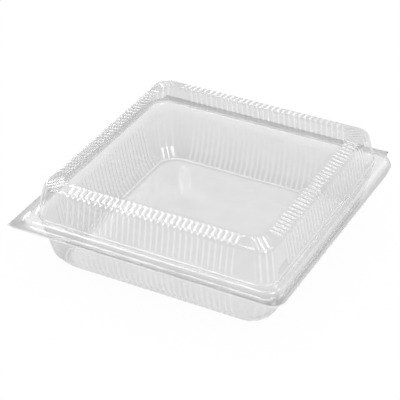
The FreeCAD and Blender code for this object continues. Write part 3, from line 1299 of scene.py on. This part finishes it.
@dataclass
class FoldWeb:
    """The living hinge: a thin web bent round between the two hinge leaves."""

    rim: RimSizes
    finish: ClearSheetFinish
    thickness: float = 0.25
    gap: float = 0.06
    steps: int = 24
    stations: int = 60

    def build(self, effects: SharedEffects) -> bpy.types.Object:
        """Build the web and blend it across the fold.

        Its section is two half circles about one centre, reach (cos a, sin a) for a from -90 to
        90 degrees, and it runs straight along the fold.

        Args:
            effects: The shared node groups.

        Returns:
            The finished piece.
        """
        rim = self.rim
        centre = rim.leaf_end - rim.web_reach
        outer = rim.web_reach - (rim.thickness - self.thickness) / 2
        angle = np.radians(np.linspace(-90.0, 90.0, self.steps))
        arms = np.repeat([outer, outer - self.thickness], self.steps)
        round_trip = np.concatenate([angle, angle[::-1]])
        half = rim.flange_half - rim.fold_inset - self.gap
        along = np.linspace(-half, half, self.stations)
        loop_y = centre + self.gap + arms * np.cos(round_trip)
        loop_z = rim.tray_depth + arms * np.sin(round_trip)
        x, y = np.meshgrid(along, loop_y, indexing="ij")
        z = np.broadcast_to(loop_z, x.shape)
        points = np.stack([x, np.minimum(y, rim.leaf_end), z], axis=-1)
        count = 2 * self.steps
        ends = np.stack([np.arange(count)[::-1], (self.stations - 1) * count + np.arange(count)])
        faces = [quads(self.stations, count)[:, ::-1], ends]
        mesh = mesh_from("fold_web", points.reshape(-1, 3), faces)
        # The web takes no painted shade and the painted ridge highlight all over.
        add_values(mesh, "draw", np.zeros(points.shape[0] * count))
        add_values(mesh, "crease", np.ones(points.shape[0] * count))
        mesh.materials.append(self.finish.material(effects))
        piece = place("fold_web", mesh)
        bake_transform(piece)
        return piece


class TakeoutContainer:
    """The whole container: tray, lid and the fold between them."""

    def __init__(self) -> None:
        """Work out both sections from the named sizes."""
        self.rim = RimSizes.from_frame()
        self.ribs = RibSizes()
        self.lid = lid_section(self.rim, LidSizes(), self.ribs)
        self.tray = tray_section(self.rim, self.lid, TraySizes(), self.ribs)

    def build(self, effects: SharedEffects) -> list[bpy.types.Object]:
        """Build every piece of the container.

        Args:
            effects: The shared node groups.

        Returns:
            The pieces.
        """
        # flat is each sheet's own tint; the darker grey is painted shade and the ridge grey a
        # painted highlight on ridges.
        tray_finish = ClearSheetFinish("clear_tray_sheet", Tone(flat=0.99, drawn=0.72, ridge=0.85))
        lid_finish = ClearSheetFinish("clear_lid_sheet", Tone(flat=0.98, drawn=0.83))
        fold_finish = ClearSheetFinish("clear_fold_web", Tone(flat=0.95, drawn=0.97))
        return [
            FormedHalf(Half.TRAY, self.rim, self.ribs, self.tray, tray_finish).build(effects),
            FormedHalf(Half.LID, self.rim, self.ribs, self.lid, lid_finish).build(effects),
            FoldWeb(self.rim, fold_finish).build(effects),
        ]


# ---- Studio ----

def direction(azimuth: float, elevation: float) -> Vector:
    """Unit direction from the object: azimuth 0 is the front, 90 the right, in degrees."""
    a, e = math.radians(azimuth), math.radians(elevation)
    return Vector((math.sin(a) * math.cos(e), -math.cos(a) * math.cos(e), math.sin(e)))


@dataclass(frozen=True)
class SoftLamp:
    """A soft box that points at the object, sized by the angles that it fills from there."""

    name: str
    azimuth: float
    elevation: float
    width: float
    height: float
    radiance: float
    distance: float = 2.4

    def build(self) -> bpy.types.Object:
        """Place the lamp. Its sides are 2 d tan(angle / 2) and its power is radiance x pi x area.

        Returns:
            The lamp, which the camera doesn't see.
        """
        angles = np.radians([self.width, self.height])
        sides = (2 * self.distance * np.tan(angles / 2)).tolist()
        data = bpy.data.lights.new(self.name, "AREA")
        data.shape = "RECTANGLE"
        data.size, data.size_y = sides
        data.energy = self.radiance * math.pi * sides[0] * sides[1]
        lamp = place(self.name, data)
        way = direction(self.azimuth, self.elevation)
        turn = way.to_track_quat("Z", "Y").to_matrix().to_4x4()
        lamp.matrix_world = Matrix.Translation(way * self.distance) @ turn
        lamp.visible_camera = False
        return lamp


@dataclass(frozen=True)
class Studio:
    """White floor, plain surroundings and soft lamps.

    The surroundings fade from the horizon's radiance to the ceiling's while the height of a ray's
    unit direction goes from fade_from to fade_to.
    """

    floor_half: float = 6.0
    floor_drop: float = 0.0004
    fill: float = 0.55
    horizon: float = 1.0
    ceiling: float = 0.48
    fade_from: float = 0.0
    fade_to: float = 0.36
    bounces: int = 32
    glossy_bounces: int = 8
    # azimuth, elevation, width and height in degrees, then the radiance
    lamps: tuple[SoftLamp, ...] = (
        SoftLamp("top_softbox", 212.0, 68.0, 20.0, 9.0, 5.0),
        SoftLamp("key_softbox", 136.0, 46.0, 20.0, 12.0, 4.0),
        SoftLamp("side_strip", 236.0, 18.0, 11.0, 24.0, 5.0),
        SoftLamp("back_strip", 211.0, 4.0, 8.0, 2.5, 5.0),
        SoftLamp("front_strip", 315.0, 49.0, 7.0, 40.0, 7.0),
        SoftLamp("overhead_strip", 236.0, 57.0, 14.0, 7.0, 7.0),
        SoftLamp("front_fill", 66.0, 51.0, 26.0, 18.0, 7.0),
    )

    def build_floor(self) -> bpy.types.Object:
        """Build the floor, a little below the standing face.

        Returns:
            The floor.
        """
        half = self.floor_half / MM
        x, y = np.meshgrid([-half, half], [-half, half], indexing="ij")
        points = np.stack([x, y, np.full_like(x, -self.floor_drop / MM)], axis=-1).reshape(-1, 3)
        mesh = mesh_from("floor", points, [np.array([[0, 2, 3, 1]])])
        mesh.materials.append(FloorFinish().material())
        floor = place("floor", mesh)
        return floor

    def build_world(self) -> None:
        """Plain fill light; seen directly, white at the horizon and grey overhead."""
        world = bpy.data.worlds.new("studio")
        bpy.context.scene.world = world
        tree = emptied(world)
        add_seen_directly(tree)
        add_node(tree, "ShaderNodeTexCoord", "way_out")
        add_node(tree, "ShaderNodeSeparateXYZ", "parts_of_way")
        add_node(
            tree, "ShaderNodeMapRange", "horizon_to_ceiling", interpolation_type="SMOOTHSTEP",
            in_1=self.fade_from, in_2=self.fade_to, in_3=self.horizon, in_4=self.ceiling,
        )
        add_node(tree, "ShaderNodeBackground", "seen_walls")
        add_node(tree, "ShaderNodeBackground", "fill_light", in_0=grey(self.fill))
        add_node(tree, "ShaderNodeMixShader", "fill_or_seen")
        add_node(tree, "ShaderNodeOutputWorld", "surroundings")
        wire(
            tree,
            "way_out.Object > parts_of_way.0",
            "parts_of_way.Z > horizon_to_ceiling.0",
            "horizon_to_ceiling.0 > seen_walls.0",
            "seen_directly.0 > fill_or_seen.0",
            "fill_light.0 > fill_or_seen.1",
            "seen_walls.0 > fill_or_seen.2",
            "fill_or_seen.0 > surroundings.Surface",
        )

    def build(self) -> None:
        """Build the floor, the surroundings and the lamps, and set how light is followed."""
        self.build_floor()
        self.build_world()
        for lamp in self.lamps:
            lamp.build()
        scene = bpy.context.scene
        scene.view_settings.view_transform = "Standard"
        scene.cycles.max_bounces = self.bounces
        scene.cycles.transmission_bounces = self.bounces
        scene.cycles.transparent_max_bounces = self.bounces
        scene.cycles.glossy_bounces = self.glossy_bounces
        scene.cycles.caustics_reflective = False
        scene.cycles.caustics_refractive = False


@dataclass(frozen=True)
class Viewpoint:
    """The camera: where it stands, and what lies at the middle of its view.

    Angles are in degrees, the distance and the aim in metres, the lens and sensor in millimetres.
    """

    azimuth: float = 28.088
    elevation: float = 33.376
    roll: float = -0.426
    distance: float = 1.21278
    aim_right: float = -0.0083
    aim_up: float = -0.00762
    lens: float = 138.545
    sensor: float = 36.0

    def build(self) -> bpy.types.Object:
        """Place the camera, which looks back along its direction from the parting plane.

        Returns:
            The camera.
        """
        back = direction(self.azimuth, self.elevation)
        right = direction(self.azimuth + 90.0, 0.0)
        up = back.cross(right)
        centre = Vector((0.0, 0.0, RimSizes.tray_depth * MM))
        aim = centre + right * self.aim_right + up * self.aim_up
        roll = Matrix.Rotation(math.radians(self.roll), 3, "Z")
        turn = Matrix((right, up, back)).transposed() @ roll
        data = bpy.data.cameras.new("viewpoint")
        data.lens, data.sensor_width = self.lens, self.sensor
        camera = place("viewpoint", data)
        camera.matrix_world = Matrix.Translation(aim + back * self.distance) @ turn.to_4x4()
        bpy.context.scene.camera = camera
        return camera


def main() -> None:
    """Build the container and its studio, and report each piece."""
    logging.basicConfig(level=logging.INFO, format="%(name)s: %(message)s")
    Viewpoint().build()
    Studio().build()
    effects = SharedEffects()
    for piece in TakeoutContainer().build(effects):
        LOG.info("%s: %d faces", piece.name, len(piece.data.polygons))


if __name__ == "__main__":
    main()
